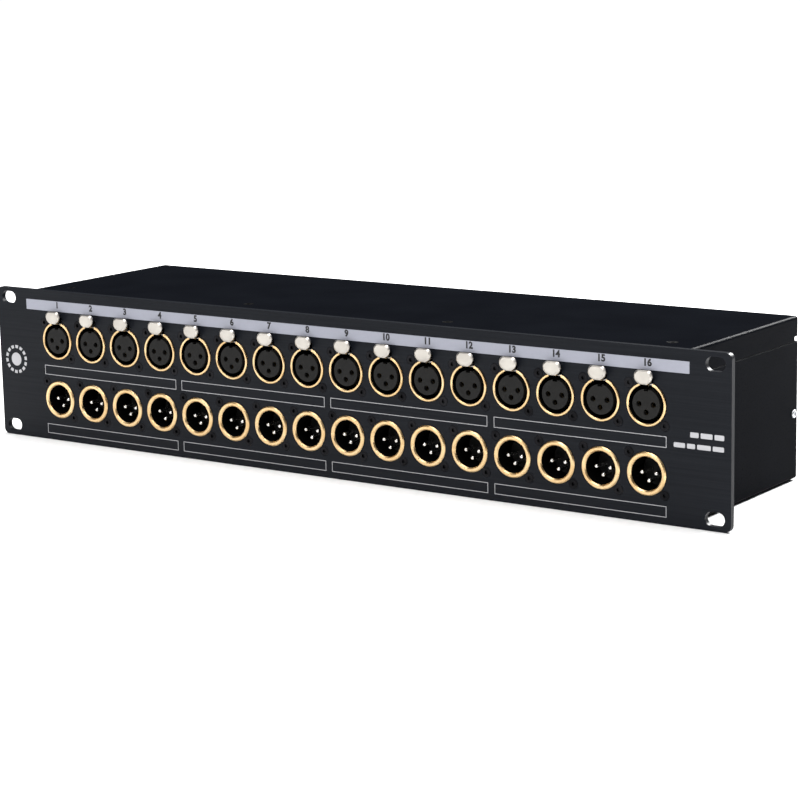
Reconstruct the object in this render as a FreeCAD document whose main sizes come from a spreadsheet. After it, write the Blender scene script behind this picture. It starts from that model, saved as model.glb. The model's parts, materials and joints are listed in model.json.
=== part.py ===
import FreeCAD, Part
import math
import os
import re

from FreeCAD import Placement, Rotation, Vector

# A two-unit 19 inch patch bay with sixteen female and sixteen male three-pole sockets.
# Origin: centre of the four rack slots, on the front panel's back face, which bears on the rack.
# +X to the right seen from the front, +Y into the rack, +Z up. Millimetres.

os.makedirs("parts", exist_ok=True)
doc = FreeCAD.newDocument("patch_bay")

# ---------------------------------------------------------------- driving dimensions

DIMENSIONS = (
    ("panel_width", 482.6, "front panel, 19 inch rack standard"),
    ("panel_height", 88.1, "front panel, two rack units"),
    ("panel_thick", 3.0, "front panel"),
    ("panel_corner", 3.3, "rounding of the front panel's corners"),
    ("slot_span", 465.1, "rack slots, left to right"),
    ("slot_rise", 76.2, "rack slots, bottom to top"),
    ("slot_length", 10.8, "rack slot, end to end"),
    ("slot_radius", 3.6, "rack slot, half its width"),
    ("channel_pitch", 26.0, "sockets, centre to centre"),
    ("female_row", 15.05, "height of the female sockets' centres"),
    ("male_row", -19.65, "height of the male sockets' centres"),
    ("ring_radius", 11.0, "socket barrel, outside"),
    ("ring_proud", 0.9, "socket barrel in front of the panel"),
    ("barrel_depth", 17.0, "socket barrel behind the panel's back face"),
    ("panel_gap", 0.15, "gap round a barrel in the front panel"),
    ("female_bore", 9.7, "radius of the female barrel's bore"),
    ("male_bore", 8.5, "radius of the male barrel's bore"),
    ("male_floor", 9.5, "depth of the male insert's face"),
    ("flange_side", 12.6, "socket flange, half its width"),
    ("flange_rise", 13.0, "socket flange, half its height"),
    ("flange_thick", 2.4, "socket flange"),
    ("screw_offset", 10.0, "socket screws, across and up from the centre"),
    ("thread_radius", 1.45, "shank of an M3 screw"),
    ("tapped_radius", 1.5, "tapped hole for M3"),
    ("head_radius", 2.5, "countersunk socket screw's head"),
    ("insert_radius", 7.6, "female insert's nose"),
    ("pole_offset", 4.0, "contacts from the socket's centre"),
    ("pole_radius", 1.175, "male contact pin"),
    ("latch_gap", 3.5, "half the width of the latch channel"),
    ("latch_roof", 13.8, "underside of the latch channel's roof"),
    ("latch_back", 15.5, "rear end of the latch channel"),
    ("housing_side", 5.3, "latch housing, half its width"),
    ("housing_top", 15.2, "latch housing's top"),
    ("pivot_depth", 12.0, "latch pivot behind the panel's back face"),
    ("pivot_rise", 11.9, "latch pivot above the socket's centre"),
    ("pivot_radius", 0.8, "latch pin"),
    ("pivot_play", 0.05, "running clearance on the latch pin"),
    ("hub_radius", 1.7, "latch lever's hub"),
    ("arm_side", 2.3, "latch lever's arm, half its width"),
    ("arm_low", 10.1, "underside of the latch arm"),
    ("arm_high", 11.3, "top of the latch arm"),
    ("nose_low", 8.9, "tip of the latch nose"),
    ("tab_side", 5.1, "push tab, half its width"),
    ("tab_low", 10.6, "push tab's lower edge"),
    ("tab_high", 17.4, "push tab's upper edge"),
    ("tab_proud", 4.3, "push tab's face in front of the panel's face"),
    ("tab_thick", 1.4, "push tab's plate"),
    ("metal", 1.2, "sheet steel of the case"),
    ("case_side", 217.0, "case, half its width over the cover's lips"),
    ("case_inset", 0.6, "case below the panel's top edge and above its bottom edge"),
    ("case_depth", 118.0, "panel's back face to the rear panel's outer face"),
    ("lip_height", 13.0, "cover's side and rear lips"),
    ("seam_gap", 0.35, "between the cover's lips and the tray's shoulder"),
    ("bend_outer", 1.8, "outside of a bend in the sheet"),
    ("bend_inner", 0.6, "inside of a bend in the sheet"),
    ("fit_gap", 0.1, "between sheet parts that slide together"),
    ("bend_gap", 0.8, "from a sheet's edge to the inside of another's bend"),
    ("cover_screw_row", 15.0, "cover screws behind the panel's back face"),
    ("board_thick", 1.6, "circuit boards"),
    ("front_board", 24.0, "socket boards' front face"),
    ("rear_board_face", 104.0, "rear board's front face"),
    ("header_depth", 9.0, "ribbon header"),
    ("ribbon_width", 33.0, "ribbon cable"),
    ("ribbon_thick", 0.9, "ribbon cable"),
    ("dsub_column", 104.0, "multipin sockets, left and right of centre"),
    ("dsub_span", 47.04, "multipin socket's two screws"),
    ("dsub_width", 38.9, "multipin shell, outside"),
    ("dsub_rise", 8.4, "multipin shell, outside"),
    ("dsub_wall", 0.5, "multipin shell"),
    ("dsub_proud", 4.0, "multipin shell outside the rear panel"),
)

CHANNELS = 16
GROUP = 4          # sockets in one node, as many as one label box spans

sheet = doc.addObject("Spreadsheet::Sheet", "dims")
for row, (alias, number, note) in enumerate(DIMENSIONS, start=1):
    sheet.set(f"A{row}", note)
    sheet.set(f"B{row}", str(number))
    sheet.setAlias(f"B{row}", alias)
doc.recompute()
ALIASES = {alias for alias, number, note in DIMENSIONS}
size = {alias: sheet.get(alias) for alias in ALIASES}

# ---------------------------------------------------------------- helpers


def formula(text):
    """A formula in the sheet's own words, as an expression that reads the sheet."""
    return re.sub(r"[a-z_]+", lambda word: f"dims.{word[0]}" if word[0] in ALIASES else word[0], str(text))


def put(feature, x, y, z):
    """Place a feature at a point given as three formulas."""
    for axis, text in zip("xyz", (x, y, z)):
        feature.setExpression(f".Placement.Base.{axis}", formula(text))


TURNED = {
    "x": Rotation(Vector(0, 1, 0), 90),
    "y": Rotation(Vector(1, 0, 0), -90),
    "z": Rotation(),
}


def stand(feature, along, start, at):
    """Turn a feature from +Z to another axis and start it at a distance along that axis."""
    feature.Placement = Placement(Vector(), TURNED[along])
    first, second = at
    put(feature, *{"x": (start, first, second), "y": (first, start, second), "z": (first, second, start)}[along])


def box(name, x, y, z):
    """A block between two faces on each axis."""
    block = doc.addObject("Part::Box", name)
    for side, (low, high) in zip(("Length", "Width", "Height"), (x, y, z)):
        block.setExpression(side, formula(f"({high}) - ({low})"))
    put(block, x[0], y[0], z[0])
    return block


def rod(name, radius, span, at=(0, 0), along="y"):
    """A cylinder from one end to the other along an axis."""
    cylinder = doc.addObject("Part::Cylinder", name)
    cylinder.setExpression("Radius", formula(radius))
    cylinder.setExpression("Height", formula(f"({span[1]}) - ({span[0]})"))
    stand(cylinder, along, span[0], at)
    return cylinder


def cone(name, radii, span, at=(0, 0), along="y"):
    """A cone from one end's radius to the other's."""
    taper = doc.addObject("Part::Cone", name)
    taper.setExpression("Radius1", formula(radii[0]))
    taper.setExpression("Radius2", formula(radii[1]))
    taper.setExpression("Height", formula(f"({span[1]}) - ({span[0]})"))
    stand(taper, along, span[0], at)
    return taper


def hexagon(name, across, span, at=(0, 0), along="y"):
    """A six-sided prism, its size given across the flats."""
    prism = doc.addObject("Part::Prism", name)
    prism.Polygon = 6
    prism.setExpression("Circumradius", formula(f"({across}) / sqrt(3)"))
    prism.setExpression("Height", formula(f"({span[1]}) - ({span[0]})"))
    stand(prism, along, span[0], at)
    return prism


def join(name, *pieces):
    """Pieces that are one solid."""
    fused = doc.addObject("Part::MultiFuse", name)
    fused.Shapes = list(pieces)
    fused.Refine = True
    return fused


def group(name, *pieces):
    """Pieces that stay separate solids."""
    together = doc.addObject("Part::Compound", name)
    together.Links = list(pieces)
    return together


def cut(name, base, *tools):
    """A base with tools taken away from it."""
    taken = doc.addObject("Part::Cut", name)
    taken.Base = base
    taken.Tool = tools[0] if len(tools) == 1 else join(f"{name}_tools", *tools)
    taken.Refine = True
    return taken


def dress(kind, name, base, amount, wanted):
    """A fillet or chamfer on the edges that a test picks."""
    doc.recompute()
    feature = doc.addObject(kind, name)
    feature.Base = base
    first, second = amount if isinstance(amount, tuple) else (amount, amount)
    feature.Edges = [(n, first, second) for n, edge in enumerate(base.Shape.Edges, start=1) if wanted(edge)]
    return feature


def copies(name, form, places):
    """One separate solid of a form at each place."""
    links = []
    for number, place in enumerate(places, start=1):
        link = doc.addObject("App::Link", f"{name}_copy_{number}")
        link.LinkedObject = form
        link.LinkTransform = True
        put(link, *place)
        links.append(link)
    return group(name, *links)


def runs_along(edge, axis):
    """Is the edge straight and parallel to an axis?"""
    extent = Vector(edge.BoundBox.XLength, edge.BoundBox.YLength, edge.BoundBox.ZLength)
    return extent.dot(axis) > 0.1 and near(extent.cross(axis).Length, 0)


def near(first, second):
    return abs(first - second) < 1e-3


def channel(number):
    """Where a channel lies across the panel; the first is 1."""
    return f"{number - (CHANNELS + 1) / 2} * channel_pitch"


def row_places(height, numbers=range(1, CHANNELS + 1)):
    return [(channel(number), 0, height) for number in numbers]


nodes = []


def node(name, feature):
    """Give a finished sub-part its name."""
    feature.Label = name
    nodes.append(feature)
    return feature


X_AXIS, Y_AXIS, Z_AXIS = Vector(1, 0, 0), Vector(0, 1, 0), Vector(0, 0, 1)
PANEL_FACE = "-panel_thick"
CASE_LOW = "-panel_height / 2 + case_inset"
CASE_HIGH = "panel_height / 2 - case_inset"
SHOULDER = "panel_height / 2 - case_inset - lip_height - seam_gap"
NECK_SIDE = "case_side - metal - fit_gap"

# ---------------------------------------------------------------- front panel

THROUGH = ("-panel_thick - 1", "1")
SOCKET_SCREWS = (("-screw_offset", "screw_offset"), ("screw_offset", "-screw_offset"))


def screw_hole(name, at):
    """A clearance hole with a countersink in the panel's face."""
    return join(
        name,
        rod(f"{name}_shank", "tapped_radius + 0.2", THROUGH, at),
        cone(f"{name}_sink", ("head_radius + 0.3", "tapped_radius + 0.1"), (PANEL_FACE, "-panel_thick + 1.1"), at),
    )


socket_hole = rod("socket_hole", "ring_radius + panel_gap", THROUGH)
latch_notch = box("latch_notch", ("-latch_gap - 0.2", "latch_gap + 0.2"), THROUGH, ("0", "13.6"))
screw_holes = [screw_hole(f"screw_hole_{n}", at) for n, at in enumerate(SOCKET_SCREWS, start=1)]
male_cutout = group("male_cutout", socket_hole, *screw_holes)
female_hole = join("female_hole", rod("female_bore_hole", "ring_radius + panel_gap", THROUGH), latch_notch)
female_cutout = group("female_cutout", female_hole, *screw_holes)

slot_ends = "slot_length / 2 - slot_radius"
rack_slot = join(
    "rack_slot",
    rod("slot_left", "slot_radius", THROUGH, (f"-({slot_ends})", 0)),
    rod("slot_right", "slot_radius", THROUGH, (slot_ends, 0)),
    box("slot_middle", (f"-({slot_ends})", slot_ends), THROUGH, ("-slot_radius", "slot_radius")),
)
SLOT_PLACES = [(f"{x} * slot_span / 2", 0, f"{z} * slot_rise / 2") for x in (-1, 1) for z in (-1, 1)]

# Blind studs are pressed into the panel's back: four along the top, four along the bottom, one at each end.
STUD_COLUMNS = (-156, -52, 52, 156)
STUD_PLACES = [(x, 0, 37) for x in STUD_COLUMNS] + [(x, 0, -38.5) for x in STUD_COLUMNS]
STUD_PLACES += [(x, 0, 0) for x in (-211.3, 211.3)]
STUD_HEAD_RADIUS = 2.4
STUD_HEAD_DEPTH = 1.5
stud_pocket = rod("stud_pocket", STUD_HEAD_RADIUS, (-STUD_HEAD_DEPTH, 1))

panel_blank = box("panel_blank", ("-panel_width / 2", "panel_width / 2"), (PANEL_FACE, "0"),
                  ("-panel_height / 2", "panel_height / 2"))
panel_rounded = dress("Part::Fillet", "panel_rounded", panel_blank, size["panel_corner"],
                      lambda edge: runs_along(edge, Y_AXIS))
panel_openings = group(
    "panel_openings",
    copies("female_cutouts", female_cutout, row_places("female_row")),
    copies("male_cutouts", male_cutout, row_places("male_row")),
    copies("rack_slots", rack_slot, SLOT_PLACES),
    copies("stud_pockets", stud_pocket, STUD_PLACES),
)
node("front_panel", cut("front_panel", panel_rounded, panel_openings))

stud = join("stud", rod("stud_head", STUD_HEAD_RADIUS, (-STUD_HEAD_DEPTH, 0)), rod("stud_shank", "thread_radius", (0, 7)))
node("panel_studs", copies("panel_studs", stud, STUD_PLACES))


def nut(name, span, along="y"):
    return cut(name, hexagon(f"{name}_blank", 5.5, span, along=along),
               rod(f"{name}_bore", "tapped_radius", (span[0] - 1, span[1] + 1), along=along))


node("panel_nuts", copies("panel_nuts", nut("panel_nut", (1.2, 3.6)), STUD_PLACES))

# ---------------------------------------------------------------- socket screws


def countersunk(name, head, face, sink, tip, along="y", at=(0, 0)):
    """A countersunk screw with a hexagon socket, its head's face at one end and its tip at the other."""
    way = 1 if tip > face else -1
    spans = {
        "lip": sorted((face, face + way * 0.2)),
        "taper": (face + way * 0.2, face + way * sink),
        "shank": sorted((face + way * sink, tip)),
        "socket": sorted((face - way * 0.1, face + way * 0.9)),
    }
    lip = rod(f"{name}_lip", head, spans["lip"], at, along)
    radii = (head, "thread_radius")
    taper_span = spans["taper"]
    if way < 0:
        radii, taper_span = radii[::-1], taper_span[::-1]
    taper = cone(f"{name}_taper", radii, taper_span, at, along)
    shank = rod(f"{name}_shank_rod", "thread_radius", spans["shank"], at, along)
    return cut(name, join(f"{name}_solid", lip, taper, shank),
               hexagon(f"{name}_socket", 2.0, spans["socket"], at, along))


face_y = -size["panel_thick"]
socket_screw = countersunk("socket_screw", "head_radius", face_y, 1.1, 5.0)
SCREW_PLACES = [
    (f"{channel(number)} + ({x})", 0, f"{height} + ({z})")
    for height in ("female_row", "male_row")
    for number in range(1, CHANNELS + 1)
    for x, z in SOCKET_SCREWS
]
node("socket_screws", copies("socket_screws", socket_screw, SCREW_PLACES))

# ---------------------------------------------------------------- socket shells

BARREL = ("-panel_thick - ring_proud", "barrel_depth")
FRONT_Y = -size["panel_thick"] - size["ring_proud"]


def flange_blank(name):
    return box(f"{name}_flange", ("-flange_side", "flange_side"), ("0", "flange_thick"), ("-flange_rise", "flange_rise"))


def flange_holes(name):
    return [rod(f"{name}_tapped_{n}", "tapped_radius", (-1, "flange_thick + 1"), at)
            for n, at in enumerate(SOCKET_SCREWS, start=1)]


def front_circle(edge, radius):
    """Is the edge an arc of a radius on the barrel's front face?"""
    if edge.Degenerated or not hasattr(edge.Curve, "Radius"):
        return False
    return near(edge.Curve.Radius, radius) and near(edge.BoundBox.YMin, FRONT_Y) and near(edge.BoundBox.YMax, FRONT_Y)


def female_shell():
    """Barrel, flange and latch housing, with the bore and the latch channel open to the front."""
    solid = join(
        "female_shell_solid",
        rod("female_barrel", "ring_radius", BARREL),
        flange_blank("female"),
        box("latch_housing", ("-housing_side", "housing_side"), ("0", "barrel_depth"), ("7", "housing_top")),
    )
    hollow = cut(
        "female_shell_hollow", solid,
        rod("female_bore_tool", "female_bore", ("-panel_thick - ring_proud - 1", "barrel_depth + 1")),
        box("latch_channel", ("-latch_gap", "latch_gap"), ("-panel_thick - ring_proud - 1", "latch_back"),
            ("5", "latch_roof")),
        rod("latch_pin_bore", "pivot_radius", ("-housing_side - 1", "housing_side + 1"),
            ("pivot_depth", "pivot_rise"), "x"),
        *flange_holes("female"),
    )
    return dress("Part::Chamfer", "female_shell", hollow, 0.3,
                 lambda edge: front_circle(edge, size["ring_radius"]) or front_circle(edge, size["female_bore"]))


def male_shell():
    """Barrel and flange, with a keyed bore and scallops that clear the screw heads."""
    solid = join("male_shell_solid", rod("male_barrel", "ring_radius", BARREL), flange_blank("male"))
    scallops = [rod(f"scallop_{n}", 3.4, ("-panel_thick - ring_proud - 1", PANEL_FACE), at)
                for n, at in enumerate(SOCKET_SCREWS, start=1)]
    key = box("male_key", (-0.75, 0.75), ("-panel_thick - ring_proud - 1", "0"), ("0", "male_bore + 0.7"))
    key_turned = doc.addObject("Part::Compound", "male_key_turned")
    key_turned.Links = [key]
    key_turned.Placement = Placement(Vector(), Rotation(Y_AXIS, 45))
    bored = cut("male_shell_bored", solid,
                rod("male_bore_tool", "male_bore", ("-panel_thick - ring_proud - 1", "barrel_depth + 1")))
    rounded = dress("Part::Chamfer", "male_shell_bevelled", bored, 0.6,
                    lambda edge: front_circle(edge, size["ring_radius"]) or front_circle(edge, size["male_bore"]))
    return cut("male_shell", rounded, key_turned, *scallops, *flange_holes("male"))


def grouped_nodes(kind, form, height):
    """One node for each group of sockets, named by its first and last channel."""
    for first in range(1, CHANNELS + 1, GROUP):
        name = f"{kind}_{first:02d}_{first + GROUP - 1:02d}"
        node(name, copies(name, form, row_places(height, range(first, first + GROUP))))


grouped_nodes("female_shells", female_shell(), "female_row")
grouped_nodes("male_shells", male_shell(), "male_row")

# ---------------------------------------------------------------- inserts and contacts

POLES = (("-pole_offset", 0), ("pole_offset", 0), (0, "-pole_offset"))
INSERT_BASE = 13.0
NOSE_FACE = "-panel_thick - ring_proud + 0.3"


def female_insert():
    """A keyed nose on a base that fills the barrel, bored for three contacts."""
    solid = join(
        "female_insert_solid",
        rod("insert_nose", "insert_radius", (NOSE_FACE, INSERT_BASE)),
        rod("insert_base", "female_bore - 0.05", (INSERT_BASE, "barrel_depth")),
    )
    mouths = [rod(f"pole_mouth_{n}", 1.475, ("-panel_thick - 2", "0"), at) for n, at in enumerate(POLES, 1)]
    seats = [rod(f"pole_seat_{n}", 1.75, ("-1.6", "barrel_depth + 1"), at) for n, at in enumerate(POLES, 1)]
    keyway = box("insert_keyway", (-1.35, 1.35), ("-panel_thick - 2", INSERT_BASE - 1), ("insert_radius - 1.1", "9"))
    return cut("female_insert", solid, keyway, *mouths, *seats)


def female_contact(number, at):
    """A split socket contact with a solder tail."""
    name = f"female_contact_{number}"
    sleeve = rod(f"{name}_sleeve", 1.72, (-1.6, "barrel_depth"), at)
    tail = rod(f"{name}_tail", 0.6, ("barrel_depth - 0.5", "front_board"), at)
    return cut(name, join(f"{name}_solid", sleeve, tail), rod(f"{name}_bore", 1.25, (-2, 11), at))


def male_insert():
    """A disc that closes the barrel and holds three pins."""
    holes = [rod(f"pin_hole_{n}", "pole_radius", (5, "barrel_depth + 1"), at) for n, at in enumerate(POLES, 1)]
    return cut("male_insert", rod("male_insert_disc", "male_bore - 0.03", ("male_floor", "barrel_depth")), *holes)


def male_pin(number, at):
    """A round-tipped pin with a solder tail."""
    name = f"male_pin_{number}"
    shaft = rod(f"{name}_shaft", "pole_radius", (-1.1, "barrel_depth"), at)
    tail = rod(f"{name}_tail", 0.6, ("barrel_depth - 0.5", "front_board"), at)
    return dress("Part::Fillet", name, join(f"{name}_solid", shaft, tail), 0.85,
                 lambda edge: near(edge.BoundBox.YMax, -1.1))


contact_trio = group("contact_trio", *[female_contact(n, at) for n, at in enumerate(POLES, 1)])
pin_trio = group("pin_trio", *[male_pin(n, at) for n, at in enumerate(POLES, 1)])
node("female_inserts", copies("female_insert_set", female_insert(), row_places("female_row")))
node("female_contacts", copies("female_contact_set", contact_trio, row_places("female_row")))
node("male_inserts", copies("male_insert_set", male_insert(), row_places("male_row")))
node("male_pins", copies("male_pin_set", pin_trio, row_places("male_row")))

# ---------------------------------------------------------------- push latches

OVAL_CENTRE = 14.4
OVAL_UP = 4.1
BEVEL_WIDTH = 0.95
BEVEL_DEPTH = 0.5
PLATE_FRONT = "-panel_thick - tab_proud"
PLATE_BACK = "-panel_thick - tab_proud + tab_thick"


def oval(name, inset, depth):
    """An upright ellipse, drawn in from the finger plate's outline, at a depth."""
    outline = doc.addObject("Part::Ellipse", name)
    outline.setExpression("MajorRadius", formula(f"tab_side - {inset}"))
    outline.MinorRadius = OVAL_UP - inset
    outline.Placement.Rotation = Rotation(X_AXIS, 90)
    put(outline, 0, depth, OVAL_CENTRE)
    return outline


def tab_plate():
    """The finger plate: an oval cut flat at the top and the neck, with a bevelled rim."""
    bevel_start = f"{PLATE_FRONT} + {BEVEL_DEPTH}"
    slab = doc.addObject("Part::Extrusion", "tab_slab")
    slab.Base = oval("tab_oval", 0, PLATE_BACK)
    slab.Dir = Vector(0, -1, 0)
    slab.DirMode = "Custom"
    slab.Solid = True
    slab.setExpression("LengthFwd", formula(f"tab_thick - {BEVEL_DEPTH}"))
    bevel = doc.addObject("Part::Loft", "tab_bevel")
    bevel.Sections = [oval("bevel_outer", 0, bevel_start), oval("bevel_inner", BEVEL_WIDTH, PLATE_FRONT)]
    bevel.Solid = True
    limits = box("tab_limits", ("-tab_side", "tab_side"), (PLATE_FRONT, "0"), ("tab_low", "tab_high"))
    shoulders = dress("Part::Fillet", "tab_shoulders", limits, 2.4,
                      lambda edge: runs_along(edge, Y_AXIS) and near(edge.BoundBox.ZMin, size["tab_high"]))
    front = -size["panel_thick"] - size["tab_proud"]
    brow = dress("Part::Chamfer", "tab_brow", shoulders, (BEVEL_WIDTH, BEVEL_DEPTH),
                 lambda edge: near(edge.BoundBox.YMax, front) and edge.BoundBox.ZMax > size["tab_low"] + 0.01)
    plate = doc.addObject("Part::Common", "tab_plate")
    plate.Base = join("tab_plate_solid", slab, bevel)
    plate.Tool = brow
    return plate


def push_tab():
    """A lever in one piece: finger plate, arm, latch nose and hub."""
    arm = box("latch_arm", ("-arm_side", "arm_side"), ("-panel_thick - tab_proud + 0.5", "pivot_depth"),
              ("arm_low", "arm_high"))
    arm_round = dress("Part::Fillet", "latch_arm_round", arm, 0.9,
                      lambda edge: runs_along(edge, X_AXIS) and edge.BoundBox.YMax < -6
                      and edge.BoundBox.ZMax < size["arm_low"] + 0.1)
    hub = rod("latch_hub", "hub_radius", ("-arm_side", "arm_side"), ("pivot_depth", "pivot_rise"), "x")
    nose = doc.addObject("Part::Wedge", "latch_nose")
    nose.Xmin, nose.Zmin, nose.Z2min = 0, 0, 0
    nose.setExpression("Xmax", formula("2 * arm_side"))
    nose.setExpression("X2max", formula("2 * arm_side"))
    nose.X2min = 0
    nose.setExpression("Ymax", formula("arm_low - nose_low + 0.2"))
    nose.Ymin = 0
    nose.Zmax, nose.Z2max = 3.2, 1.0
    nose.Placement.Rotation = Rotation(X_AXIS, -90)
    put(nose, "-arm_side", 0.8, "arm_low + 0.2")
    solid = join("push_tab_solid", arm_round, hub, tab_plate(), nose)
    return cut("push_tab_form", solid,
               rod("hub_bore", "pivot_radius + pivot_play", ("-arm_side - 1", "arm_side + 1"),
                   ("pivot_depth", "pivot_rise"), "x"))


def torsion_spring():
    """Two turns on the pin, one leg over the arm and one leg against the housing."""
    turns = []
    for number, x in enumerate((2.72, 3.12), start=1):
        turn = doc.addObject("Part::Torus", f"spring_turn_{number}")
        turn.Radius1 = 1.15
        turn.Radius2 = 0.22
        stand(turn, "x", x, ("pivot_depth", "pivot_rise"))
        turns.append(turn)
    return join(
        "torsion_spring", *turns,
        rod("spring_leg", 0.2, ("pivot_depth - 3.4", "pivot_depth"), (2.8, "pivot_rise + 1.15")),
        rod("spring_toe", 0.2, (1.0, 3.0), ("pivot_depth - 3.3", "pivot_rise + 1.15"), "x"),
        rod("spring_heel", 0.2, ("pivot_rise", "latch_roof - 0.1"), (2.95, "pivot_depth + 1.15"), "z"),
    )


push_tab_form = push_tab()
for number in range(1, CHANNELS + 1):
    name = f"push_tab_{number:02d}"
    node(name, copies(name, push_tab_form, row_places("female_row", [number])))
latch_pin = rod("latch_pin", "pivot_radius", ("-housing_side", "housing_side"), ("pivot_depth", "pivot_rise"), "x")
node("latch_pins", copies("latch_pin_set", latch_pin, row_places("female_row")))
node("latch_springs", copies("latch_spring_set", torsion_spring(), row_places("female_row")))

# ---------------------------------------------------------------- case

COVER_SCREW_COLUMNS = (-199.5, -66.5, 66.5, 199.5)
BOTTOM_SCREW_COLUMNS = (-180, -60, 60, 180)
BOTTOM_SCREW_ROW = "case_depth - 11"
SIDE_SCREW = ("case_depth - 4", -8.0)


def bends(feature, name, outer, inner):
    """Round the bends of a folded sheet: tests pick the outside and the inside edges."""
    outside = dress("Part::Fillet", f"{name}_outer", feature, size["bend_outer"], outer)
    return dress("Part::Fillet", f"{name}_inner", outside, size["bend_inner"], inner)


def chassis_tray():
    """A folded tray: base, two sides that step in behind the cover's lips, and flanges behind the panel."""
    base = (CASE_LOW, f"{CASE_LOW} + metal")
    depth = ("0", "case_depth")
    pieces = [box("tray_base", ("-case_side", "case_side"), depth, base)]
    for label, way in (("left", -1), ("right", 1)):
        def across(outer, inner):
            return (f"-({outer})", f"-({inner})") if way < 0 else (inner, outer)
        pieces += [
            box(f"tray_wall_{label}", across("case_side", "case_side - metal"), depth, (CASE_LOW, SHOULDER)),
            box(f"tray_shoulder_{label}", across("case_side", f"{NECK_SIDE} - metal"), depth,
                (f"{SHOULDER} - metal", SHOULDER)),
            box(f"tray_neck_{label}", across(NECK_SIDE, f"{NECK_SIDE} - metal"), ("2", "case_depth - 6"),
                (f"{SHOULDER} - metal", f"{CASE_HIGH} - metal - bend_gap")),
            box(f"tray_flange_{label}", across("case_side", "208.2"), ("0", "metal"), ("-33", "28")),
        ]
    pieces.append(box("tray_flange_low", ("-205", "205"), ("0", "metal"), (CASE_LOW, "-34.3")))
    folded = join("tray_folded", *pieces)
    side, low = size["case_side"], -size["panel_height"] / 2 + size["case_inset"]

    def long_edge(edge, x, z):
        return runs_along(edge, Y_AXIS) and near(abs(edge.BoundBox.XMin), x) and near(edge.BoundBox.ZMin, z)

    bent = bends(folded, "tray",
                 lambda edge: long_edge(edge, side, low),
                 lambda edge: long_edge(edge, side - size["metal"], low + size["metal"]) and edge.Length > 100)
    stud_holes = copies("tray_stud_holes", rod("tray_stud_hole", "tapped_radius + 0.1", (-1, 3)),
                        [place for place in STUD_PLACES if place[2] < 30])
    side_holes = rod("tray_side_holes", "tapped_radius + 0.1", ("-case_side - 1", "case_side + 1"), SIDE_SCREW, "x")
    sink = cone("base_sink", (3.1, 1.6), base, (0, BOTTOM_SCREW_ROW), "z")
    sinks = copies("base_sinks", sink, [(x, 0, 0) for x in BOTTOM_SCREW_COLUMNS])
    return cut("chassis_tray", bent, group("tray_openings", stud_holes, side_holes, sinks))


def top_rail():
    """An angle behind the panel's top edge that the cover is screwed to."""
    under_cover = f"{CASE_HIGH} - metal"
    angle = join(
        "rail_angle",
        box("rail_upright", ("-205", "205"), ("0", "metal"), ("32.6", under_cover)),
        box("rail_shelf", ("-205", "205"), ("0", "24"), (f"{under_cover} - metal", under_cover)),
    )
    bent = dress("Part::Fillet", "rail_bent", angle, size["bend_inner"],
                 lambda edge: runs_along(edge, X_AXIS) and near(edge.BoundBox.YMin, size["metal"])
                 and edge.BoundBox.ZMin > 40)
    stud_holes = copies("rail_stud_holes", rod("rail_stud_hole", "tapped_radius + 0.1", (-1, 3)),
                        [place for place in STUD_PLACES if place[2] > 30])
    tapped = copies("rail_tapped", rod("rail_tapped_hole", "tapped_radius", (38, 46), (0, "cover_screw_row"), "z"),
                    [(x, 0, 0) for x in COVER_SCREW_COLUMNS])
    return cut("top_rail", bent, group("rail_openings", stud_holes, tapped))


def top_cover():
    """A folded cover: top, two side lips and a rear lip."""
    high = CASE_HIGH
    under = f"{high} - metal"
    lip_low = f"{high} - lip_height"
    depth = (0.2, "case_depth + metal")
    folded = join(
        "cover_folded",
        box("cover_top", ("-case_side", "case_side"), depth, (under, high)),
        box("cover_lip_left", ("-case_side", "-case_side + metal"), depth, (lip_low, high)),
        box("cover_lip_right", ("case_side - metal", "case_side"), depth, (lip_low, high)),
        box("cover_lip_rear", ("-case_side", "case_side"), ("case_depth", "case_depth + metal"), (lip_low, high)),
    )
    top = size["panel_height"] / 2 - size["case_inset"]
    side = size["case_side"]
    rear = size["case_depth"] + size["metal"]

    def on_top(edge, x, y, z):
        across = runs_along(edge, X_AXIS) and near(edge.BoundBox.YMin, y)
        along = runs_along(edge, Y_AXIS) and near(abs(edge.BoundBox.XMin), x)
        return (across or along) and near(edge.BoundBox.ZMin, z)

    outer = dress("Part::Fillet", "cover_outer", folded, size["bend_outer"],
                  lambda edge: on_top(edge, side, rear, top)
                  or (runs_along(edge, Z_AXIS) and near(abs(edge.BoundBox.XMin), side) and near(edge.BoundBox.YMin, rear)))
    inner = dress("Part::Fillet", "cover_inner", outer, size["bend_inner"],
                  lambda edge: on_top(edge, side - size["metal"], rear - size["metal"], top - size["metal"]))
    reliefs = [box(f"lip_relief_{n}", x, ("case_depth - 3.6", "case_depth + 3"), (f"{lip_low} - 1", f"{lip_low} + 2.4"))
               for n, x in enumerate((("-case_side - 1", "-case_side + 6"), ("case_side - 6", "case_side + 1")), 1)]
    sink = cone("cover_sink", (1.6, 3.1), (under, high), (0, "cover_screw_row"), "z")
    sinks = copies("cover_sinks", sink, [(x, 0, 0) for x in COVER_SCREW_COLUMNS])
    rear_hole = rod("cover_rear_hole", "tapped_radius + 0.2", ("case_depth - 1", "case_depth + 3"), (0, 36))
    rear_holes = copies("cover_rear_holes", rear_hole, [(x, 0, 0) for x in COVER_SCREW_COLUMNS])
    return cut("top_cover", inner, group("cover_openings", *reliefs, sinks, rear_holes))


node("chassis_tray", chassis_tray())
node("top_rail", top_rail())
node("top_cover", top_cover())

# ---------------------------------------------------------------- multipin sockets

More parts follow.
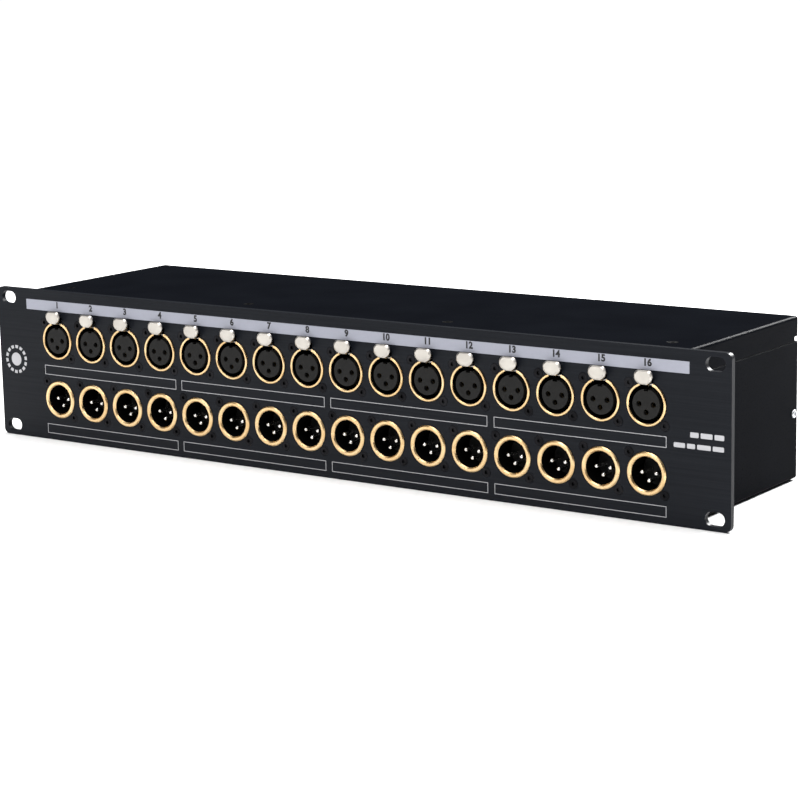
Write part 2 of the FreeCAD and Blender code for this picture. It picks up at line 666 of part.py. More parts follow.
DSUB_PLACES = [(f"{x} * dsub_column", 0, height) for height in ("female_row", "male_row") for x in (-1, 1)]
DSUB_SLANT = math.tan(math.radians(10))
PANEL_INNER = size["case_depth"] - size["metal"]
DSUB_BACK = size["rear_board_face"] + size["board_thick"]
DSUB_FLANGE = 0.8
DSUB_END = size["case_depth"] + size["dsub_proud"]
LONG_ROW, SHORT_ROW = 13, 12
POLE_PITCH, POLE_ROW_HALF = 2.77, 1.42


def d_prism(name, width, rise, span, corner):
    """The keyed outline of a multipin socket, wide side up, as a prism along the depth."""
    half, high = width / 2, rise / 2
    narrow = half - rise * DSUB_SLANT
    outline = Part.makePolygon([Vector(x, span[0], z) for x, z in (
        (-half, high), (half, high), (narrow, -high), (-narrow, -high), (-half, high))])
    solid = Part.Face(outline).extrude(Vector(0, span[1] - span[0], 0))
    feature = doc.addObject("Part::Feature", name)
    feature.Shape = solid.makeFillet(corner, [edge for edge in solid.Edges if runs_along(edge, Y_AXIS)])
    return feature


def dsub_shell():
    """A drawn steel shell on a flange with two holes."""
    width, rise, wall = size["dsub_width"], size["dsub_rise"], size["dsub_wall"]
    flange = dress("Part::Fillet", "dsub_flange_round",
                   box("dsub_flange", (-26.5, 26.5), (PANEL_INNER - DSUB_FLANGE, PANEL_INNER), (-6.25, 6.25)),
                   1.5, lambda edge: runs_along(edge, Y_AXIS))
    solid = join("dsub_shell_solid", flange,
                 d_prism("dsub_outside", width, rise, (PANEL_INNER - DSUB_FLANGE, DSUB_END), 2.6))
    holes = [rod(f"dsub_hole_{n}", "tapped_radius + 0.1", ("case_depth - 6", "case_depth"), (f"{x} * dsub_span / 2", 0))
             for n, x in enumerate((-1, 1), 1)]
    inside = d_prism("dsub_inside", width - 2 * wall, rise - 2 * wall, (PANEL_INNER - 3, DSUB_END + 1), 2.1)
    return cut("dsub_shell", solid, inside, *holes)


def dsub_poles():
    """Where the contacts lie: a long row over a short one."""
    for count, rise in ((LONG_ROW, POLE_ROW_HALF), (SHORT_ROW, -POLE_ROW_HALF)):
        for n in range(count):
            yield (n - (count - 1) / 2) * POLE_PITCH, rise


def dsub_insulator():
    """A moulded block that fills the shell, bored for the contacts."""
    nose = d_prism("insulator_nose", size["dsub_width"] - 2 * size["dsub_wall"] - 0.1,
                   size["dsub_rise"] - 2 * size["dsub_wall"] - 0.1, (PANEL_INNER - DSUB_FLANGE, DSUB_END - 0.4), 2.05)
    body = box("insulator_body", (-20, 20), (DSUB_BACK, PANEL_INNER - DSUB_FLANGE), (-5, 5))
    bore = rod("contact_bore", 0.75, (DSUB_BACK - 1, DSUB_END + 1))
    return cut("dsub_insulator", join("insulator_solid", nose, body),
               copies("contact_bores", bore, [(x, 0, z) for x, z in dsub_poles()]))


def dsub_contact_set():
    """Hollow contacts, one for each pole."""
    tube = cut("dsub_contact", rod("dsub_contact_rod", 0.72, (DSUB_BACK, DSUB_END - 0.9)),
               rod("dsub_contact_bore", 0.5, (DSUB_END - 6, DSUB_END)))
    return copies("dsub_contact_set", tube, [(x, 0, z) for x, z in dsub_poles()])


dsub_shell_form = dsub_shell()
for number, place in enumerate(DSUB_PLACES, start=1):
    node(f"multipin_shell_{number}", copies(f"multipin_shell_{number}", dsub_shell_form, [place]))
node("multipin_insulators", copies("insulator_set", dsub_insulator(), DSUB_PLACES))
node("multipin_contacts", copies("multipin_contact_set", dsub_contact_set(), DSUB_PLACES))

JACK_PLACES = [(f"{x} + {side} * dsub_span / 2", y, z) for x, y, z in DSUB_PLACES for side in (-1, 1)]
jack_post = cut(
    "jack_post",
    join("jack_post_solid",
         hexagon("jack_post_hex", 4.8, ("case_depth", "case_depth + 5")),
         rod("jack_post_shank", "thread_radius", ("case_depth - 6", "case_depth"))),
    rod("jack_post_bore", 1.25, ("case_depth - 1", "case_depth + 6")),
)
node("jack_posts", copies("jack_post_set", jack_post, JACK_PLACES))
jack_nut = nut("jack_nut", (PANEL_INNER - DSUB_FLANGE - 2.4, PANEL_INNER - DSUB_FLANGE))
node("jack_nuts", copies("jack_nut_set", jack_nut, JACK_PLACES))

# ---------------------------------------------------------------- rear panel

STANDOFF_PLACES = [(x, 0, z) for x in (-145, 145) for z in (-30, 26)]


def rear_panel():
    """A plate with the multipin cut-outs and folded flanges at its base and sides."""
    inner_low = f"{CASE_LOW} + metal"
    side = "case_side - metal - fit_gap"
    neck = f"{NECK_SIDE} - metal - fit_gap"
    shoulder = f"{SHOULDER} - metal - fit_gap"
    plate_y = ("case_depth - metal", "case_depth")
    folded = join(
        "rear_folded",
        box("rear_plate", (f"-({side})", side), plate_y, (f"{inner_low} + bend_gap", shoulder)),
        box("rear_plate_top", (f"-({neck})", neck), plate_y, (shoulder, f"{CASE_HIGH} - metal - bend_gap")),
        box("rear_foot", ("-200", "200"), ("case_depth - 17", "case_depth"), (inner_low, f"{inner_low} + metal")),
        box("rear_ear_left", (f"-({side})", f"-({side} - metal)"), ("case_depth - 15", "case_depth"), ("-30", "28")),
        box("rear_ear_right", (f"{side} - metal", side), ("case_depth - 15", "case_depth"), ("-30", "28")),
    )
    window = d_prism("rear_window", size["dsub_width"] + 0.6, size["dsub_rise"] + 0.6,
                     (PANEL_INNER - 1, PANEL_INNER + 3), 2.9)
    jack_hole = rod("jack_hole", "tapped_radius + 0.1", ("case_depth - 3", "case_depth + 1"))
    standoff_hole = rod("standoff_hole", "tapped_radius + 0.1", ("case_depth - 3", "case_depth + 1"))
    lip_hole = rod("lip_hole", "tapped_radius", ("case_depth - 3", "case_depth + 1"))
    foot_hole = rod("foot_hole", "tapped_radius", (-46, -38), (0, BOTTOM_SCREW_ROW), "z")
    side_hole = rod("ear_hole", "tapped_radius", ("-case_side", "case_side"), SIDE_SCREW, "x")
    return cut("rear_panel", folded, group(
        "rear_openings",
        copies("rear_windows", window, DSUB_PLACES),
        copies("jack_holes", jack_hole, JACK_PLACES),
        copies("standoff_holes", standoff_hole, STANDOFF_PLACES),
        copies("lip_holes", lip_hole, [(x, 0, 36) for x in COVER_SCREW_COLUMNS]),
        copies("foot_holes", foot_hole, [(x, 0, 0) for x in BOTTOM_SCREW_COLUMNS]),
        side_hole,
    ))


node("rear_panel", rear_panel())

# ---------------------------------------------------------------- circuit boards and ribbons

BOARD_HALF = 207.0
RIBBON_BEND = math.radians(25)


def socket_board(name, low, high):
    return box(name, (-BOARD_HALF, BOARD_HALF), ("front_board", "front_board + board_thick"), (low, high))


def ribbon():
    """A flat cable that sags between two headers in three tangent arcs."""
    start = size["front_board"] + size["board_thick"] + size["header_depth"]
    end = size["rear_board_face"] - size["header_depth"]
    radius = (end - start) / (4 * math.sin(RIBBON_BEND))
    half = size["ribbon_thick"] / 2
    drop = radius * (1 - math.cos(RIBBON_BEND))
    turn = math.degrees(RIBBON_BEND)
    centres = ((start, -radius, 90, 90 - turn), ((start + end) / 2, radius - 2 * drop, 270 - turn, 270 + turn),
               (end, -radius, 90 + turn, 90))

    def face(offsets):
        edges = []
        for (y, z, first, last), offset in zip(centres, offsets):
            points = [Vector(0, y + (radius + offset) * math.cos(math.radians(angle)),
                             z + (radius + offset) * math.sin(math.radians(angle)))
                      for angle in (first, (first + last) / 2, last)]
            edges.append(Part.Arc(*points).toShape())
        return edges

    upper = face((half, -half, half))
    lower = face((-half, half, -half))
    ends = [Part.LineSegment(one.Vertexes[end].Point, other.Vertexes[end].Point).toShape()
            for one, other, end in ((upper[0], lower[0], 0), (upper[-1], lower[-1], -1))]
    profile = Part.Face(Part.Wire(Part.__sortEdges__(upper + lower + ends)))
    feature = doc.addObject("Part::Feature", "ribbon_form")
    feature.Shape = profile.extrude(Vector(size["ribbon_width"], 0, 0))
    feature.Placement = Placement(Vector(-size["ribbon_width"] / 2, 0, 0), Rotation())
    return feature


node("female_board", socket_board("female_board", "1", "29.5"))
node("male_board", socket_board("male_board", "-34", "-5"))
rear_board = cut(
    "rear_board",
    box("rear_board_blank", (-150, 150), ("rear_board_face", "rear_board_face + board_thick"), (-36, 31)),
    copies("board_holes", rod("board_hole", "tapped_radius + 0.1", (100, 112)), STANDOFF_PLACES),
)
node("rear_board", rear_board)
front_header = box("front_header", (-19, 19), ("front_board + board_thick", "front_board + board_thick + header_depth"),
                   (-4.5, 4.5))
rear_header = box("rear_header", (-19, 19), ("rear_board_face - header_depth", "rear_board_face"), (-4.5, 4.5))
node("ribbon_headers", group("header_set", copies("front_headers", front_header, DSUB_PLACES),
                             copies("rear_headers", rear_header, DSUB_PLACES)))
ribbon_form = ribbon()
for number, place in enumerate(DSUB_PLACES, start=1):
    node(f"ribbon_cable_{number}", copies(f"ribbon_cable_{number}", ribbon_form, [place]))

# ---------------------------------------------------------------- case fasteners

standoff = cut("standoff", hexagon("standoff_hex", 5.5, (DSUB_BACK, PANEL_INNER)),
               rod("standoff_bore", "tapped_radius", (DSUB_BACK - 1, PANEL_INNER + 1)))
node("board_standoffs", copies("standoff_set", standoff, STANDOFF_PLACES))


def pan_head(name, face, tip, along="y", at=(0, 0), radius=2.75, rise=1.9):
    """A pan-head screw with a cross recess, its head's underside on a face."""
    way = 1 if tip > face else -1
    top = face - way * rise
    head = rod(f"{name}_head", radius, sorted((face, top)), at, along)
    axis = {"x": 0, "y": 1, "z": 2}[along]
    rounded = dress("Part::Fillet", f"{name}_head_round", head, 0.8, lambda edge: near(
        (edge.BoundBox.XMin, edge.BoundBox.YMin, edge.BoundBox.ZMin)[axis], top) and near(
        (edge.BoundBox.XMax, edge.BoundBox.YMax, edge.BoundBox.ZMax)[axis], top))
    shank = rod(f"{name}_shank_rod", "thread_radius", sorted((face, tip)), at, along)
    recess_span = sorted((top - way * 0.1, top + way * 0.9))
    recess = hexagon(f"{name}_recess", 2.0, recess_span, at, along)
    return cut(name, join(f"{name}_solid", rounded, shank), recess)


cover_face = size["panel_height"] / 2 - size["case_inset"]
cover_screw = countersunk("cover_screw", 2.8, cover_face, 1.2, cover_face - 5, "z", (0, "cover_screw_row"))
node("cover_screws", copies("cover_screw_set", cover_screw, [(x, 0, 0) for x in COVER_SCREW_COLUMNS]))
lip_face = size["case_depth"] + size["metal"]
lip_screw = pan_head("lip_screw", lip_face, lip_face - 5)
node("cover_rear_screws", copies("lip_screw_set", lip_screw, [(x, 0, 36) for x in COVER_SCREW_COLUMNS]))
base_screw = countersunk("base_screw", 2.8, -cover_face, 1.2, -cover_face + 5, "z", (0, BOTTOM_SCREW_ROW))
node("bottom_screws", copies("base_screw_set", base_screw, [(x, 0, 0) for x in BOTTOM_SCREW_COLUMNS]))
side_face = size["case_side"]
right_screw = pan_head("right_side_screw", side_face, side_face - 6, "x", SIDE_SCREW, 2.2, 1.0)
left_screw = pan_head("left_side_screw", -side_face, -side_face + 6, "x", SIDE_SCREW, 2.2, 1.0)
node("side_screws", group("side_screws", right_screw, left_screw))
outer_board_screw = pan_head("outer_board_screw", size["case_depth"], size["case_depth"] - 6)
inner_board_screw = pan_head("inner_board_screw", size["rear_board_face"], size["rear_board_face"] + 6)
node("board_screws", group("board_screw_set",
                           copies("outer_board_screws", outer_board_screw, STANDOFF_PLACES),
                           copies("inner_board_screws", inner_board_screw, STANDOFF_PLACES)))

# ---------------------------------------------------------------- check and write

doc.recompute()
for feature in doc.Objects:
    if "Invalid" in feature.State or "Error" in feature.State:
        raise RuntimeError(f"{feature.Name} failed: {feature.State}")
for part in nodes:
    if part.Shape.isNull() or not part.Shape.isValid() or not part.Shape.Solids:
        raise RuntimeError(f"{part.Label} has no valid shape")
    part.Shape.exportStep(f"parts/{part.Label}.step")
print(len(nodes), "nodes,", sum(len(part.Shape.Solids) for part in nodes), "solids")
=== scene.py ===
import bpy
import bmesh
import json
import math
from mathutils import Matrix, Vector


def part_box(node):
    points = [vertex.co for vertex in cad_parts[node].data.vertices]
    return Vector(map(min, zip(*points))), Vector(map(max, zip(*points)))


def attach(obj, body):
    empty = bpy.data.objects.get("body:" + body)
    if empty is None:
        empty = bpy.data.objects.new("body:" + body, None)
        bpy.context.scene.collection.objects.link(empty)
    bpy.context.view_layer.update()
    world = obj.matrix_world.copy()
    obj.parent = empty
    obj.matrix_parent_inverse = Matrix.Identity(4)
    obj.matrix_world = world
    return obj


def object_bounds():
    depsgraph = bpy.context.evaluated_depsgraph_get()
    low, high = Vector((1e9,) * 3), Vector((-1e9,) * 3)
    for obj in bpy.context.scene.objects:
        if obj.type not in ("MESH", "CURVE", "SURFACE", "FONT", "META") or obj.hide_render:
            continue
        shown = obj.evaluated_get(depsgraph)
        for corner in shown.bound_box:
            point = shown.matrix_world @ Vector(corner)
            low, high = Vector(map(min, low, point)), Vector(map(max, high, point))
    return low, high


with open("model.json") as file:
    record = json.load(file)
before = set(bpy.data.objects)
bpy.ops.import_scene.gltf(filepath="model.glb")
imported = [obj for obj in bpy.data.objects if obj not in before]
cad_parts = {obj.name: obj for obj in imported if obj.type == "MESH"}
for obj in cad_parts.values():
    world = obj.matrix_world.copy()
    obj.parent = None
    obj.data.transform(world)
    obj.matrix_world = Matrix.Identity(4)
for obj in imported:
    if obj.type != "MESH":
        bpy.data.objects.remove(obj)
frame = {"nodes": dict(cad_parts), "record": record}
nodes = frame["nodes"]
cad_low, cad_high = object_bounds()

# Metres, in the CAD frame: +X right, +Y into the rack, +Z up, origin at the middle of the rack slots.

MM = 0.001
CHANNELS = 16
GROUP = 4
BODY = "case"

panel_low, panel_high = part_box("front_panel")
PANEL_FACE = panel_low.y
PANEL_TOP = panel_high.z
PANEL_LEFT, PANEL_RIGHT = panel_low.x, panel_high.x
INK = 0.04 * MM     # thickness of a printed layer


def channel_x(number):
    """The middle of a channel, from its push tab; the first is 1."""
    low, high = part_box(f"push_tab_{number:02d}")
    return (low.x + high.x) / 2


def below_top(distance):
    """Height of a line given in millimetres below the panel's top edge."""
    return PANEL_TOP - distance * MM


# ---------------------------------------------------------------- materials


class Surface:
    """A material with one principled shader, and short ways to add texture to it."""

    def __init__(self, name, colour, roughness=0.5, metallic=0.0, **sockets):
        self.material = bpy.data.materials.new(name)
        self.material.use_nodes = True
        self.tree = self.material.node_tree
        self.shader = self.tree.nodes["Principled BSDF"]
        self.shader.inputs["Base Color"].default_value = (*colour, 1)
        self.shader.inputs["Roughness"].default_value = roughness
        self.shader.inputs["Metallic"].default_value = metallic
        for socket, value in sockets.items():
            self.shader.inputs[socket.replace("_", " ")].default_value = value
        self.position = self.tree.nodes.new("ShaderNodeTexCoord").outputs["Object"]
        self.last_bump = None

    def node(self, kind, **values):
        made = self.tree.nodes.new(kind)
        for key, value in values.items():
            if key in made.inputs:
                made.inputs[key].default_value = value
            else:
                setattr(made, key, value)
        return made

    def link(self, start, end):
        self.tree.links.new(start, end)

    def noise(self, stretch, detail=4.0, rough=0.55):
        """Noise whose grains are as long as stretch says on each axis, in millimetres."""
        mapping = self.node("ShaderNodeMapping")
        mapping.inputs["Scale"].default_value = [1 / (length * MM) for length in stretch]
        noise = self.node("ShaderNodeTexNoise")
        noise.inputs["Scale"].default_value = 1.0
        noise.inputs["Detail"].default_value = detail
        noise.inputs["Roughness"].default_value = rough
        self.link(self.position, mapping.inputs["Vector"])
        self.link(mapping.outputs["Vector"], noise.inputs["Vector"])
        return noise.outputs["Fac"]

    def spread(self, value, low, high, start=0.3, end=0.7):
        """Turn a texture's middle range into numbers from low to high."""
        remap = self.node("ShaderNodeMapRange")
        for socket, number in (("From Min", start), ("From Max", end), ("To Min", low), ("To Max", high)):
            remap.inputs[socket].default_value = number
        self.link(value, remap.inputs["Value"])
        return remap.outputs["Result"]

    def vary_roughness(self, value, low, high):
        self.link(self.spread(value, low, high), self.shader.inputs["Roughness"])

    def vary_colour(self, value, first, second, start=0.3, end=0.7):
        mix = self.node("ShaderNodeMix")
        mix.data_type = "RGBA"
        mix.inputs["A"].default_value = (*first, 1)
        mix.inputs["B"].default_value = (*second, 1)
        self.link(self.spread(value, 0, 1, start, end), mix.inputs["Factor"])
        self.link(mix.outputs["Result"], self.shader.inputs["Base Color"])

    def soften_edges(self, radius):
        """Shade sharp edges as if they had a small radius, in millimetres."""
        bevel = self.node("ShaderNodeBevel", samples=4)
        bevel.inputs["Radius"].default_value = radius * MM
        self.last_bump = bevel.outputs["Normal"]

    def blacken_behind(self, depth):
        """Paint the finish matt black behind a depth along Y, in metres, as painted shade in the hollows
        behind it.
        """
        split = self.node("ShaderNodeSeparateXYZ")
        self.link(self.position, split.inputs["Vector"])
        front = self.node("ShaderNodeMath", operation="LESS_THAN")
        front.inputs[1].default_value = depth
        self.link(split.outputs["Y"], front.inputs[0])
        self.link(front.outputs["Value"], self.shader.inputs["Metallic"])
        self.link(front.outputs["Value"], self.shader.inputs["Specular IOR Level"])
        colour = self.shader.inputs["Base Color"].links[0].from_socket
        mix = self.node("ShaderNodeMix", data_type="RGBA")
        # the black of the painted shade
        mix.inputs["A"].default_value = (0.003, 0.003, 0.003, 1)
        self.link(front.outputs["Value"], mix.inputs["Factor"])
        self.link(colour, mix.inputs["B"])
        self.link(mix.outputs["Result"], self.shader.inputs["Base Color"])

    def bump(self, value, height, strength=1.0):
        """Raise the surface by up to a height in millimetres."""
        bump = self.node("ShaderNodeBump")
        bump.inputs["Strength"].default_value = strength
        bump.inputs["Distance"].default_value = height * MM
        self.link(value, bump.inputs["Height"])
        if self.last_bump:
            self.link(self.last_bump, bump.inputs["Normal"])
        self.last_bump = bump.outputs["Normal"]
        self.link(self.last_bump, self.shader.inputs["Normal"])


def anodised_panel():
    """Black anodised aluminium, brushed along the panel's length."""
    surface = Surface("anodised_panel", (0.006, 0.007, 0.010), 0.5, Specular_IOR_Level=0.11)
    streaks = surface.noise((60, 0.7, 0.7), detail=5)
    clouds = surface.noise((90, 40, 40), detail=2)
    surface.vary_colour(streaks, (0.005, 0.0062, 0.009), (0.009, 0.0105, 0.014))
    surface.vary_roughness(clouds, 0.38, 0.46)
    surface.bump(streaks, 0.006, 0.4)
    return surface.material


def powder_coat():
    """Black powder coat with a fine orange-peel grain."""
    surface = Surface("powder_coat", (0.004, 0.004, 0.005), 0.3, Specular_IOR_Level=0.004)
    grain = surface.noise((0.9, 0.9, 0.9), detail=3)
    patches = surface.noise((35, 35, 35), detail=2)
    surface.vary_colour(patches, (0.0025, 0.003, 0.0045), (0.0035, 0.0042, 0.006))
    surface.vary_roughness(grain, 0.26, 0.33)
    surface.soften_edges(0.8)
    surface.bump(grain, 0.008, 0.5)
    return surface.material


def metal(name, dark, light, roughness, grain=(3, 3, 0.4), scratch=0.006):
    """Plated or bright metal with fine drawn grain and slightly uneven tone."""
    surface = Surface(name, light, roughness, 1.0)
    streaks = surface.noise(grain, detail=4)
    tarnish = surface.noise((9, 9, 9), detail=3)
    surface.vary_colour(tarnish, dark, light)
    surface.vary_roughness(streaks, roughness - 0.06, roughness + 0.08)
    surface.bump(streaks, scratch, 0.5)
    return surface.material


def gilt_shell():
    """Gold-flashed die casting with soft edges, painted matt black down in its bores as painted shade."""
    surface = Surface("gilt_shell", (0.82, 0.54, 0.25), 0.3, 1.0)
    tarnish = surface.noise((9, 9, 9), detail=3)
    grain = surface.noise((2, 2, 2), detail=4)
    surface.vary_colour(tarnish, (0.72, 0.48, 0.23), (0.86, 0.63, 0.35))
    surface.vary_roughness(grain, 0.24, 0.36)
    surface.soften_edges(0.35)
    surface.bump(grain, 0.004, 0.5)
    # painted shade: the shell turns matt black behind the panel's face, inside its bores
    surface.blacken_behind(PANEL_FACE + 0.1 * MM)
    return surface.material


def moulding(name, dark, light, roughness, grain=0.5, height=0.02):
    """Moulded plastic with a fine spark-eroded grain."""
    surface = Surface(name, light, roughness, Specular_IOR_Level=0.2)
    texture = surface.noise((grain, grain, grain), detail=3)
    surface.vary_colour(texture, dark, light)
    surface.vary_roughness(texture, roughness - 0.06, roughness + 0.08)
    surface.bump(texture, height, 0.6)
    return surface.material


def ink(name, colour, wear=0.05):
    """Screen-printed ink with a slightly uneven density."""
    surface = Surface(name, colour, 0.5)
    density = surface.noise((1.2, 1.2, 1.2), detail=4)
    surface.vary_colour(density, tuple(c * (1 - wear) for c in colour), colour)
    surface.vary_roughness(density, 0.42, 0.6)
    surface.bump(density, 0.004, 0.4)
    return surface.material


def circuit_board():
    """Green solder mask with the faint weave and tracks of the laminate below."""
    surface = Surface("circuit_board", (0.015, 0.11, 0.05), 0.32, Coat_Weight=0.3)
    tracks = surface.noise((6, 6, 0.8), detail=2)
    surface.vary_colour(tracks, (0.010, 0.085, 0.038), (0.022, 0.15, 0.065), 0.45, 0.55)
    surface.bump(tracks, 0.02, 0.5)
    return surface.material


CORE_PITCH = 1.27 * MM


def ribbon_cable():
    """Grey flat cable, ribbed along its length by its conductors."""
    surface = Surface("ribbon_grey", (0.36, 0.37, 0.39), 0.5)
    wave = surface.node("ShaderNodeTexWave", wave_type="BANDS", bands_direction="X")
    wave.inputs["Scale"].default_value = 2 * math.pi / CORE_PITCH / 20     # 20 is the texture's own unit
    surface.link(surface.position, wave.inputs["Vector"])
    surface.vary_colour(wave.outputs["Fac"], (0.30, 0.31, 0.33), (0.42, 0.43, 0.45))
    surface.bump(wave.outputs["Fac"], 0.15, 0.8)
    return surface.material


MATERIALS = {
    "anodised_panel": anodised_panel(),
    "powder_coat": powder_coat(),
    "gilt_shell": gilt_shell(),
    "nickel_tab": metal("nickel_tab", (0.48, 0.45, 0.41), (0.58, 0.55, 0.50), 0.34, (5, 5, 0.3), 0.001),
    "insert_plastic": moulding("insert_plastic", (0.008, 0.008, 0.0075), (0.013, 0.0125, 0.012), 0.6),
    "black_plastic": moulding("black_plastic", (0.006, 0.006, 0.006), (0.012, 0.012, 0.012), 0.6),
    # contact gold darkened to dark brown: painted shade for contacts that sit deep in their holes
    "contact_gold": metal("contact_gold", (0.10, 0.07, 0.03), (0.16, 0.11, 0.05), 0.35),
    "pin_silver": metal("pin_silver", (0.68, 0.67, 0.64), (0.86, 0.85, 0.83), 0.2),
    "black_screw": metal("black_screw", (0.008, 0.008, 0.009), (0.020, 0.020, 0.022), 0.36, (1, 1, 1), 0.01),
    "zinc_steel": metal("zinc_steel", (0.50, 0.51, 0.53), (0.66, 0.67, 0.69), 0.3, (1.5, 1.5, 1.5)),
    "spring_steel": metal("spring_steel", (0.42, 0.42, 0.43), (0.60, 0.60, 0.61), 0.25, (1, 1, 1)),
    "circuit_board": circuit_board(),
    "ribbon_grey": ribbon_cable(),
    "print_white": ink("print_white", (0.48, 0.48, 0.50)),
    "print_strip": ink("print_strip", (0.33, 0.34, 0.40)),
    "print_black": ink("print_black", (0.008, 0.008, 0.009), 0.3),
}

slot_of = {part["node"]: part["material_slot"] for part in frame["record"]["subparts"]}
for name, part in nodes.items():
    part.data.materials.clear()
    part.data.materials.append(MATERIALS[slot_of[name]])


# ---------------------------------------------------------------- printed pieces


def finish_piece(name, mesh, slot, body=BODY):
    """Make a mesh an object that rides on a body and takes a slot's finish."""
    piece = bpy.data.objects.new(name, mesh)
    bpy.context.scene.collection.objects.link(piece)
    mesh.materials.append(MATERIALS[slot])
    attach(piece, body)
    return piece


def printed(name, outlines, slot):
    """Flat closed outlines in the panel's plane, given a layer of ink's thickness."""
    solid = bmesh.new()
    for outline in outlines:
        corners = [solid.verts.new((x, PANEL_FACE, z)) for x, z in outline]
        face = solid.faces.new(corners)
        raised = bmesh.ops.extrude_face_region(solid, geom=[face])
        moved = [item for item in raised["geom"] if isinstance(item, bmesh.types.BMVert)]
        bmesh.ops.translate(solid, verts=moved, vec=(0, -INK, 0))
    bmesh.ops.recalc_face_normals(solid, faces=solid.faces)
    mesh = bpy.data.meshes.new(name)
    solid.to_mesh(mesh)
    solid.free()
    return finish_piece(name, mesh, slot)


def rounded_outline(left, right, low, high, radius, steps=6):
    """The corners of a rectangle with rounded corners, anticlockwise."""
    points = []
    corners = (
        (right - radius, high - radius, 0),
        (left + radius, high - radius, 90),
        (left + radius, low + radius, 180),
        (right - radius, low + radius, 270),
    )
    for centre_x, centre_z, start in corners:
        for step in range(steps + 1):
            angle = math.radians(start + 90 * step / steps)
            points.append((centre_x + radius * math.cos(angle), centre_z + radius * math.sin(angle)))
    return points


def outline_bars(left, right, low, high, line):
    """Four bars that make the outline of a box."""
    return [
        [(left, low), (right, low), (right, low + line), (left, low + line)],
        [(left, high - line), (right, high - line), (right, high), (left, high)],
        [(left, low + line), (left + line, low + line), (left + line, high - line), (left, high - line)],
        [(right - line, low + line), (right, low + line), (right, high - line), (right - line, high - line)],
    ]


STRIP_INSET = 22.8 * MM     # from each end of the panel
STRIP_CORNER = 0.3 * MM
STRIP_LOW, STRIP_HIGH = below_top(11.9), below_top(5.9)
STRIP_LEFT, STRIP_RIGHT = PANEL_LEFT + STRIP_INSET, PANEL_RIGHT - STRIP_INSET
strip = rounded_outline(STRIP_LEFT, STRIP_RIGHT, STRIP_LOW, STRIP_HIGH, STRIP_CORNER)
printed("number_strip", [strip], "print_strip")

DIGIT_HEIGHT = 3.5 * MM
DIGIT_SHIFT = 0.8 * MM      # to the right of the tab's middle
DIGIT_DROP = 2.2 * MM       # digits' middle below the strip's top
CAP_HEIGHT = 0.72           # of the face, as a share of its size
BOLDNESS = 0.065            # added to each stroke's sides, as a share of the digit's height


def channel_number(number):
    """A channel's number on the strip, in a plain bold face."""
    curve = bpy.data.curves.new(f"digits_{number:02d}", "FONT")
    curve.body = str(number)
    curve.align_x = "CENTER"
    curve.align_y = "CENTER"
    curve.size = DIGIT_HEIGHT / CAP_HEIGHT
    curve.bevel_depth = BOLDNESS * DIGIT_HEIGHT
    curve.bevel_resolution = 0
    text = bpy.data.objects.new(f"digits_{number:02d}", curve)
    bpy.context.scene.collection.objects.link(text)
    bpy.context.view_layer.update()
    mesh = bpy.data.meshes.new_from_object(text.evaluated_get(bpy.context.evaluated_depsgraph_get()))
    bpy.data.objects.remove(text)
    xs = [vertex.co.x for vertex in mesh.vertices]
    ys = [vertex.co.y for vertex in mesh.vertices]
    flat = Matrix.Scale(INK / (2 * curve.bevel_depth), 4, (0, 0, 1))
    centred = flat @ Matrix.Translation((-(min(xs) + max(xs)) / 2, -(min(ys) + max(ys)) / 2, 0))
    upright = Matrix.Rotation(math.radians(90), 4, "X")
    middle = (channel_x(number) + DIGIT_SHIFT, PANEL_FACE - 1.5 * INK, STRIP_HIGH - DIGIT_DROP)
    mesh.transform(Matrix.Translation(middle) @ upright @ centred)
    mesh.materials.clear()
    return finish_piece(f"channel_number_{number:02d}", mesh, "print_black")


for channel in range(1, CHANNELS + 1):
    channel_number(channel)

BOX_WIDTH, BOX_HEIGHT, BOX_LINE = 100 * MM, 5.6 * MM, 0.3 * MM
for row, middle in (("upper", below_top(46.8)), ("lower", below_top(81.7))):
    for first in range(1, CHANNELS + 1, GROUP):
        centre = (channel_x(first) + channel_x(first + GROUP - 1)) / 2
        printed(
            f"label_box_{row}_{first:02d}",
            outline_bars(centre - BOX_WIDTH / 2, centre + BOX_WIDTH / 2,
                         middle - BOX_HEIGHT / 2, middle + BOX_HEIGHT / 2, BOX_LINE),
            "print_white",
        )


def left_mark():
    """A plain round mark at the panel's left end: a disc in a ring of dashes."""
    centre_x, centre_z = PANEL_LEFT + 12.5 * MM, below_top(42.6)
    disc, ring_inner, ring_outer = 3.9, 6.6, 8.4
    dashes, dash_degrees, steps = 14, 16, 4

    def around(radius, degrees):
        angle = math.radians(degrees)
        return centre_x + radius * MM * math.cos(angle), centre_z + radius * MM * math.sin(angle)

    outlines = [[around(disc, degrees) for degrees in range(0, 360, 10)]]
    for dash in range(dashes):
        start = dash * 360 / dashes
        outer = [around(ring_outer, start + dash_degrees * step / steps) for step in range(steps + 1)]
        inner = [around(ring_inner, start + dash_degrees * step / steps) for step in range(steps, -1, -1)]
        outlines.append(outer + inner)
    return printed("left_mark", outlines, "print_white")


MARK_ROWS = (   # bottom and top below the panel's top, start before the mark's end, dash widths
    (43.0, 40.4, 18.5, (4.6, 6.4, 5.2)),
    (48.6, 46.2, 27.5, (6.2, 4.4, 7.4, 6.0)),
)
DASH_GAP = 1.1


def right_mark():
    """Two short rules of plain dashes, where the panel carries a legend at its right end."""
    end = PANEL_RIGHT - 3.8 * MM
    dashes = []
    for low, high, start, widths in MARK_ROWS:
        x = end - start * MM
        for width in widths:
            dashes.append(rounded_outline(x, x + width * MM, below_top(low), below_top(high), 0.5 * MM))
            x += (width + DASH_GAP) * MM
    return printed("right_mark", dashes, "print_white")


left_mark()
right_mark()

# ---------------------------------------------------------------- floor, light and camera

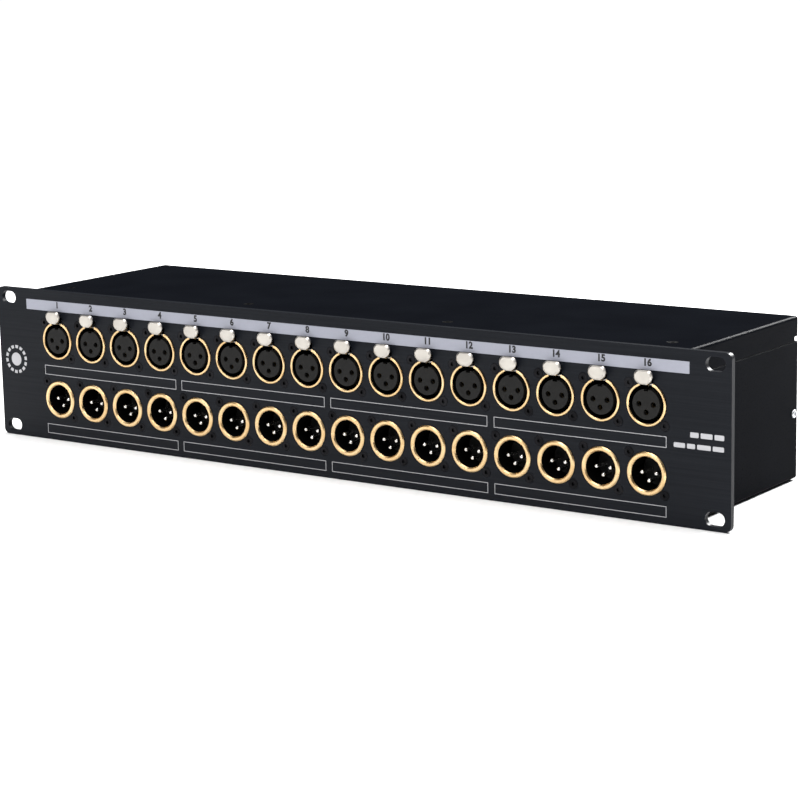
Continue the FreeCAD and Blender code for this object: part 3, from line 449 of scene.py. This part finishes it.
FLOOR_HALF = 30.0
FLOOR_Z = cad_low[2] - 0.0002
CORNERS = ((-1, -1), (1, -1), (1, 1), (-1, 1))
floor_mesh = bpy.data.meshes.new("floor")
floor_mesh.from_pydata([(FLOOR_HALF * x, FLOOR_HALF * y, FLOOR_Z) for x, y in CORNERS], [], [(0, 1, 2, 3)])
floor = bpy.data.objects.new("floor", floor_mesh)
bpy.context.scene.collection.objects.link(floor)
floor_mesh.materials.append(moulding("floor_paper", (0.86, 0.86, 0.86), (0.9, 0.9, 0.9), 0.8, 4, 0.01))

STUDIO_GLOW = 0.04      # what the dark studio gives the object
STUDIO_SEEN = 1.0       # what the camera sees past the floor

world = bpy.data.worlds.new("studio")
bpy.context.scene.world = world
world.use_nodes = True
studio = world.node_tree
studio.nodes["Background"].inputs["Color"].default_value = (1, 1, 1, 1)
seen = studio.nodes.new("ShaderNodeLightPath").outputs["Is Camera Ray"]
strength = studio.nodes.new("ShaderNodeMapRange")
strength.inputs["To Min"].default_value = STUDIO_GLOW
strength.inputs["To Max"].default_value = STUDIO_SEEN
studio.links.new(seen, strength.inputs["Value"])
studio.links.new(strength.outputs["Result"], studio.nodes["Background"].inputs["Strength"])

sun_data = bpy.data.lights.new("overhead", "SUN")
sun_data.energy = 3.7
sun_data.angle = math.radians(50)
sun = bpy.data.objects.new("overhead", sun_data)
bpy.context.scene.collection.objects.link(sun)


def area_light(name, place, target, width, height, watts):
    light = bpy.data.lights.new(name, "AREA")
    light.shape = "RECTANGLE"
    light.size, light.size_y, light.energy = width, height, watts
    lamp = bpy.data.objects.new(name, light)
    lamp.location = place
    lamp.rotation_euler = (Vector(target) - Vector(place)).to_track_quat("-Z", "Y").to_euler()
    bpy.context.scene.collection.objects.link(lamp)


area_light("key", (0.2, -2.6, 1.9), (0, 0, 0), 2.4, 1.4, 60)
area_light("rear_box", (0.27, 1.97, 1.08), (0.2, 0.06, 0), 0.7, 0.7, 115)

CAMERA_PLACE = (0.758, -1.005, 0.241)
CAMERA_YAW, CAMERA_PITCH, CAMERA_ROLL = (math.radians(angle) for angle in (35.335, -10.96, -1.16))
camera_data = bpy.data.cameras.new("camera")
camera_data.lens = 107.5
camera_data.sensor_width = 36
camera_data.clip_start = 0.05
camera = bpy.data.objects.new("camera", camera_data)
turn = (Matrix.Rotation(CAMERA_YAW, 4, "Z") @ Matrix.Rotation(math.radians(90) + CAMERA_PITCH, 4, "X")
        @ Matrix.Rotation(CAMERA_ROLL, 4, "Z"))
camera.matrix_world = Matrix.Translation(CAMERA_PLACE) @ turn
bpy.context.scene.collection.objects.link(camera)
bpy.context.scene.camera = camera
bpy.context.scene.view_settings.view_transform = "Standard"
